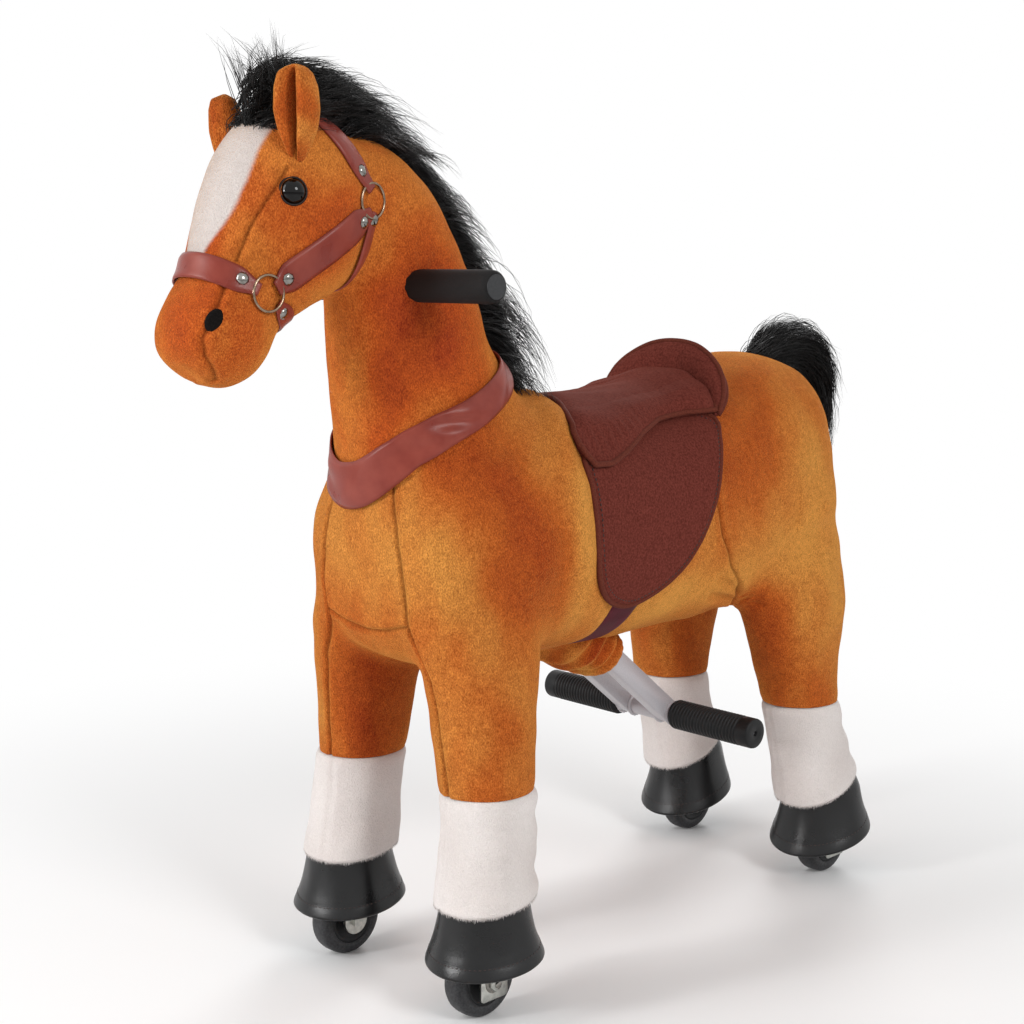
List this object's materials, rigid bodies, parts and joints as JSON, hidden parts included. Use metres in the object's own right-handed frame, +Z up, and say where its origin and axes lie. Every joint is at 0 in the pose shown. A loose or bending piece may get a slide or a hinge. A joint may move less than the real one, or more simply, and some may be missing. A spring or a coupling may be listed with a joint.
{
  "type": "ride-on plush horse",
  "caption": "Plush ride-on horse on wheels with turning neck and handle bar, padded saddle, foot bar lever and a hinged rear half that swings to drive it forwards.",
  "frame": {"origin": "on the floor under the middle of the whole", "axes": "+X to the horse's left, -Y forwards towards the muzzle, +Z up"},
  "size_m": [0.33, 0.953, 0.8903],
  "materials": {
    "frame_steel": "black painted steel tube and plate",
    "lever_steel": "silver-grey paint",
    "zinc_steel": "zinc plated",
    "bush": "plain nylon",
    "board": "plywood",
    "brown_plush": "short-pile plush over padding",
    "white_plush": "short-pile plush over padding",
    "hoof_leather": "satin imitation leather",
    "saddle_suede": "suede cloth over foam",
    "strap_leather": "satin imitation leather",
    "girth_leather": "satin imitation leather",
    "hair": "long faux fur",
    "grip_foam": "foam rubber",
    "grip_rubber": "ribbed rubber",
    "tyre_rubber": "dark grey rubber",
    "hub_plastic": "black nylon",
    "eye_plastic": "polished",
    "ring_metal": "nickel plated"
  },
  "bodies": {
    "front": {"front_frame": "frame_steel", "seat_board": "board", "seat_bolts": "zinc_steel", "hinge_bush": "bush", "pivot_bolts": "zinc_steel", "torso_cover": "brown_plush", "front_left_leg": "brown_plush", "front_right_leg": "brown_plush", "front_left_sock": "white_plush", "front_right_sock": "white_plush", "front_left_hoof": "hoof_leather", "front_right_hoof": "hoof_leather", "saddle_seat": "saddle_suede", "saddle_cantle": "saddle_suede", "saddle_flap_left": "saddle_suede", "saddle_flap_right": "saddle_suede", "girth_strap": "girth_leather", "neck_collar": "strap_leather"},
    "rear": {"rear_frame": "frame_steel", "rump_cover": "brown_plush", "rear_left_leg": "brown_plush", "rear_right_leg": "brown_plush", "rear_left_sock": "white_plush", "rear_right_sock": "white_plush", "rear_left_hoof": "hoof_leather", "rear_right_hoof": "hoof_leather", "rear_forks": "zinc_steel", "rear_axles": "zinc_steel", "tail": "hair"},
    "steering": {"steering_column": "frame_steel", "handlebar": "frame_steel", "left_handle_grip": "grip_foam", "right_handle_grip": "grip_foam", "neck_cover": "brown_plush", "head_cover": "brown_plush", "ears": "brown_plush", "eyes": "eye_plastic", "mane": "hair", "noseband": "strap_leather", "cheek_straps": "strap_leather", "headstall": "strap_leather", "halter_rings": "ring_metal", "halter_rivets": "ring_metal"},
    "front_left_steer": {"front_left_fork": "zinc_steel", "front_left_axle": "zinc_steel"},
    "front_right_steer": {"front_right_fork": "zinc_steel", "front_right_axle": "zinc_steel"},
    "tie": {"tie_plate": "zinc_steel"},
    "pedal": {"pedal_lever": "lever_steel", "foot_grips": "grip_rubber", "pedal_sleeve": "brown_plush"},
    "links": {"drive_links": "zinc_steel"},
    "front_left_wheel": {"front_left_tyre": "tyre_rubber", "front_left_hub": "hub_plastic"},
    "front_right_wheel": {"front_right_tyre": "tyre_rubber", "front_right_hub": "hub_plastic"},
    "rear_left_wheel": {"rear_left_tyre": "tyre_rubber", "rear_left_hub": "hub_plastic"},
    "rear_right_wheel": {"rear_right_tyre": "tyre_rubber", "rear_right_hub": "hub_plastic"}
  },
  "joints": [
    {"name": "rear_swing", "type": "hinge", "parent": "front", "child": "rear", "pos_m": [0, 0.12389, 0.36], "axis": [-1, 0, 0], "range_deg": [0, 12]},
    {"name": "pedal_swing", "type": "hinge", "parent": "front", "child": "pedal", "pos_m": [0, -0.02911, 0.36], "axis": [-1, 0, 0], "range_deg": [0, 12]},
    {"name": "link_swing", "type": "hinge", "parent": "pedal", "child": "links", "pos_m": [0, -0.02911, 0.41], "axis": [-1, 0, 0], "range_deg": [-12, 0]},
    {"name": "steer", "type": "hinge", "parent": "front", "child": "steering", "pos_m": [0, -0.19811, 0.566], "axis": [0, -0.309, 0.9511], "range_deg": [-15, 15]},
    {"name": "front_left_fork_turn", "type": "hinge", "parent": "front", "child": "front_left_steer", "pos_m": [0.078, -0.19611, 0.08], "axis": [0, 0, 1], "range_deg": [-15, 15]},
    {"name": "front_right_fork_turn", "type": "hinge", "parent": "front", "child": "front_right_steer", "pos_m": [-0.078, -0.19611, 0.08], "axis": [0, 0, 1], "range_deg": [-15, 15]},
    {"name": "tie_turn", "type": "hinge", "parent": "front_left_steer", "child": "tie", "pos_m": [0.078, -0.15811, 0.385], "axis": [0, 0, 1], "range_deg": [-15, 15]},
    {"name": "front_left_wheel_spin", "type": "hinge", "parent": "front_left_steer", "child": "front_left_wheel", "pos_m": [0.103, -0.21011, 0.0375], "axis": [1, 0, 0], "continuous": true},
    {"name": "front_right_wheel_spin", "type": "hinge", "parent": "front_right_steer", "child": "front_right_wheel", "pos_m": [-0.103, -0.21011, 0.0375], "axis": [1, 0, 0], "continuous": true},
    {"name": "rear_left_wheel_spin", "type": "hinge", "parent": "rear", "child": "rear_left_wheel", "pos_m": [0.103, 0.34389, 0.0375], "axis": [1, 0, 0], "continuous": true},
    {"name": "rear_right_wheel_spin", "type": "hinge", "parent": "rear", "child": "rear_right_wheel", "pos_m": [-0.103, 0.34389, 0.0375], "axis": [1, 0, 0], "continuous": true}
  ],
  "couplings": [
    {"joint": "pedal_swing", "follows": "rear_swing", "ratio": 1},
    {"joint": "link_swing", "follows": "rear_swing", "ratio": -1},
    {"joint": "front_left_fork_turn", "follows": "steer", "ratio": 1},
    {"joint": "front_right_fork_turn", "follows": "steer", "ratio": 1},
    {"joint": "tie_turn", "follows": "steer", "ratio": -1}
  ]
}
